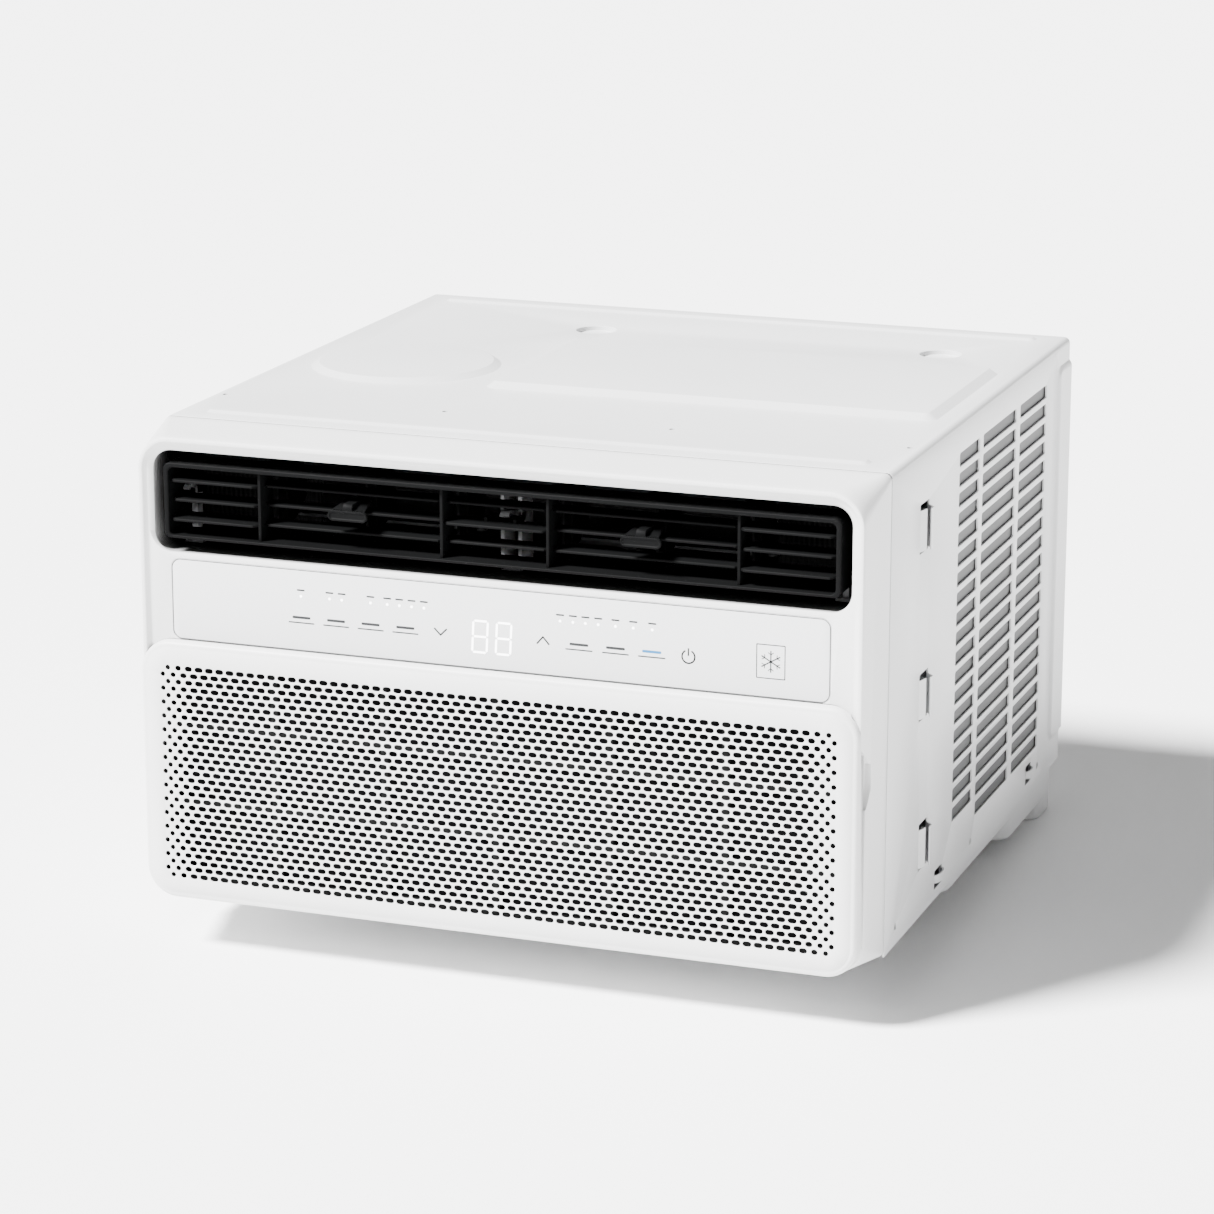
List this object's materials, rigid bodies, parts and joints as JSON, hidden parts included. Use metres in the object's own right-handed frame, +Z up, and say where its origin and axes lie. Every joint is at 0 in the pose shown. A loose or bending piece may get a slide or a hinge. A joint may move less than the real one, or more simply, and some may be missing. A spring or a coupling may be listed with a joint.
{
  "type": "window air conditioner",
  "caption": "Boxy window air conditioner with slotted side vents, stepped base pan, perforated front panel and tilting top-front louvres with thumb tabs.",
  "frame": {"origin": "centre of the bounding box in plan, at the underside of the base pan's lowest step", "axes": "+Z up, -Y out of the front grille into the room, +X to the right side as seen in the picture"},
  "size_m": [0.4784, 0.486, 0.337],
  "materials": {
    "white_plastic": "satin moulded white plastic",
    "painted_sheet": "semi-gloss light grey powder coat",
    "overlay": "smooth satin overlay film",
    "dark_plastic": "fine-textured charcoal plastic",
    "duct_plastic": "smooth near-black plastic",
    "clip_plastic": "natural light grey plastic",
    "screen": "fine grey woven screen",
    "filter_net": "fine plastic net",
    "fins": "close bare aluminium fins",
    "copper": "drawn copper tube",
    "zinc_steel": "zinc-plated sheet",
    "black_enamel": "semi-gloss black enamel",
    "rubber": "moulded rubber",
    "foam": "expanded bead foam",
    "board": "green circuit board"
  },
  "bodies": {
    "cabinet": {"cabinet_shell": "painted_sheet", "base_pan": "painted_sheet", "rear_guard": "painted_sheet", "side_screen_right": "screen", "side_screen_left": "screen", "drain_plug": "rubber", "front_bezel": "white_plastic", "cord_gland": "rubber", "control_overlay": "overlay", "display_board": "board", "outlet_duct": "duct_plastic", "pivot_bracket_left": "clip_plastic", "pivot_bracket_right": "clip_plastic", "pivot_bracket_centre": "clip_plastic", "evaporator_core": "fins", "evaporator_end_left": "zinc_steel", "evaporator_end_right": "zinc_steel", "evaporator_bends": "copper", "condenser_core": "fins", "condenser_end_left": "zinc_steel", "condenser_end_right": "zinc_steel", "compressor": "black_enamel", "compressor_grommet_1": "rubber", "compressor_grommet_2": "rubber", "compressor_grommet_3": "rubber", "terminal_cover": "black_enamel", "accumulator": "black_enamel", "suction_tube": "copper", "discharge_tube": "copper", "capillary_tube": "copper", "motor_can": "zinc_steel", "motor_bracket": "zinc_steel", "blower_housing": "foam", "bulkhead": "zinc_steel", "fan_shroud": "dark_plastic", "control_box": "zinc_steel", "control_board": "board", "run_capacitor": "zinc_steel"},
    "grille_panel": {"front_grille": "white_plastic", "filter_frame": "clip_plastic", "filter_mesh": "filter_net"},
    "louvre": {"louver_frame": "dark_plastic"},
    "fan_rotor": {"motor_shaft": "zinc_steel", "blower_wheel": "dark_plastic", "condenser_fan": "dark_plastic"},
    "vane_1_body": {"vane_1": "dark_plastic"},
    "vane_2_body": {"vane_2": "dark_plastic", "thumb_tab_left": "dark_plastic"},
    "vane_3_body": {"vane_3": "dark_plastic"},
    "vane_4_body": {"vane_4": "dark_plastic"},
    "vane_5_body": {"vane_5": "dark_plastic", "thumb_tab_right": "dark_plastic"},
    "vane_6_body": {"vane_6": "dark_plastic"},
    "link_left": {"vane_link_left": "clip_plastic"},
    "link_right": {"vane_link_right": "clip_plastic"}
  },
  "joints": [
    {"name": "louver_tilt", "type": "hinge", "parent": "cabinet", "child": "louvre", "pos_m": [0, -0.211, 0.2905], "axis": [1, 0, 0], "range_deg": [-12, 12]},
    {"name": "grille_open", "type": "hinge", "parent": "cabinet", "child": "grille_panel", "pos_m": [0, -0.2315, 0.036], "axis": [1, 0, 0], "range_deg": [0, 40]},
    {"name": "fan_spin", "type": "hinge", "parent": "cabinet", "child": "fan_rotor", "pos_m": [0.04, 0.008, 0.163], "axis": [0, 1, 0], "continuous": true},
    {"name": "vanes_left_swing", "type": "hinge", "parent": "louvre", "child": "vane_2_body", "pos_m": [-0.094, -0.192, 0.289], "axis": [0, 0, 1], "range_deg": [-20, 20]},
    {"name": "vane_1_swing", "type": "hinge", "parent": "louvre", "child": "vane_1_body", "pos_m": [-0.154, -0.192, 0.289], "axis": [0, 0, 1], "range_deg": [-20, 20]},
    {"name": "vane_3_swing", "type": "hinge", "parent": "louvre", "child": "vane_3_body", "pos_m": [-0.034, -0.192, 0.289], "axis": [0, 0, 1], "range_deg": [-20, 20]},
    {"name": "link_left_pivot", "type": "hinge", "parent": "vane_2_body", "child": "link_left", "pos_m": [-0.094, -0.17, 0.272], "axis": [0, 0, 1], "range_deg": [-20, 20]},
    {"name": "vanes_right_swing", "type": "hinge", "parent": "louvre", "child": "vane_5_body", "pos_m": [0.094, -0.192, 0.289], "axis": [0, 0, 1], "range_deg": [-20, 20]},
    {"name": "vane_4_swing", "type": "hinge", "parent": "louvre", "child": "vane_4_body", "pos_m": [0.034, -0.192, 0.289], "axis": [0, 0, 1], "range_deg": [-20, 20]},
    {"name": "vane_6_swing", "type": "hinge", "parent": "louvre", "child": "vane_6_body", "pos_m": [0.154, -0.192, 0.289], "axis": [0, 0, 1], "range_deg": [-20, 20]},
    {"name": "link_right_pivot", "type": "hinge", "parent": "vane_5_body", "child": "link_right", "pos_m": [0.094, -0.17, 0.272], "axis": [0, 0, 1], "range_deg": [-20, 20]}
  ],
  "couplings": [
    {"joint": "vane_1_swing", "follows": "vanes_left_swing", "ratio": 1},
    {"joint": "vane_3_swing", "follows": "vanes_left_swing", "ratio": 1},
    {"joint": "link_left_pivot", "follows": "vanes_left_swing", "ratio": -1},
    {"joint": "vane_4_swing", "follows": "vanes_right_swing", "ratio": 1},
    {"joint": "vane_6_swing", "follows": "vanes_right_swing", "ratio": 1},
    {"joint": "link_right_pivot", "follows": "vanes_right_swing", "ratio": -1}
  ]
}
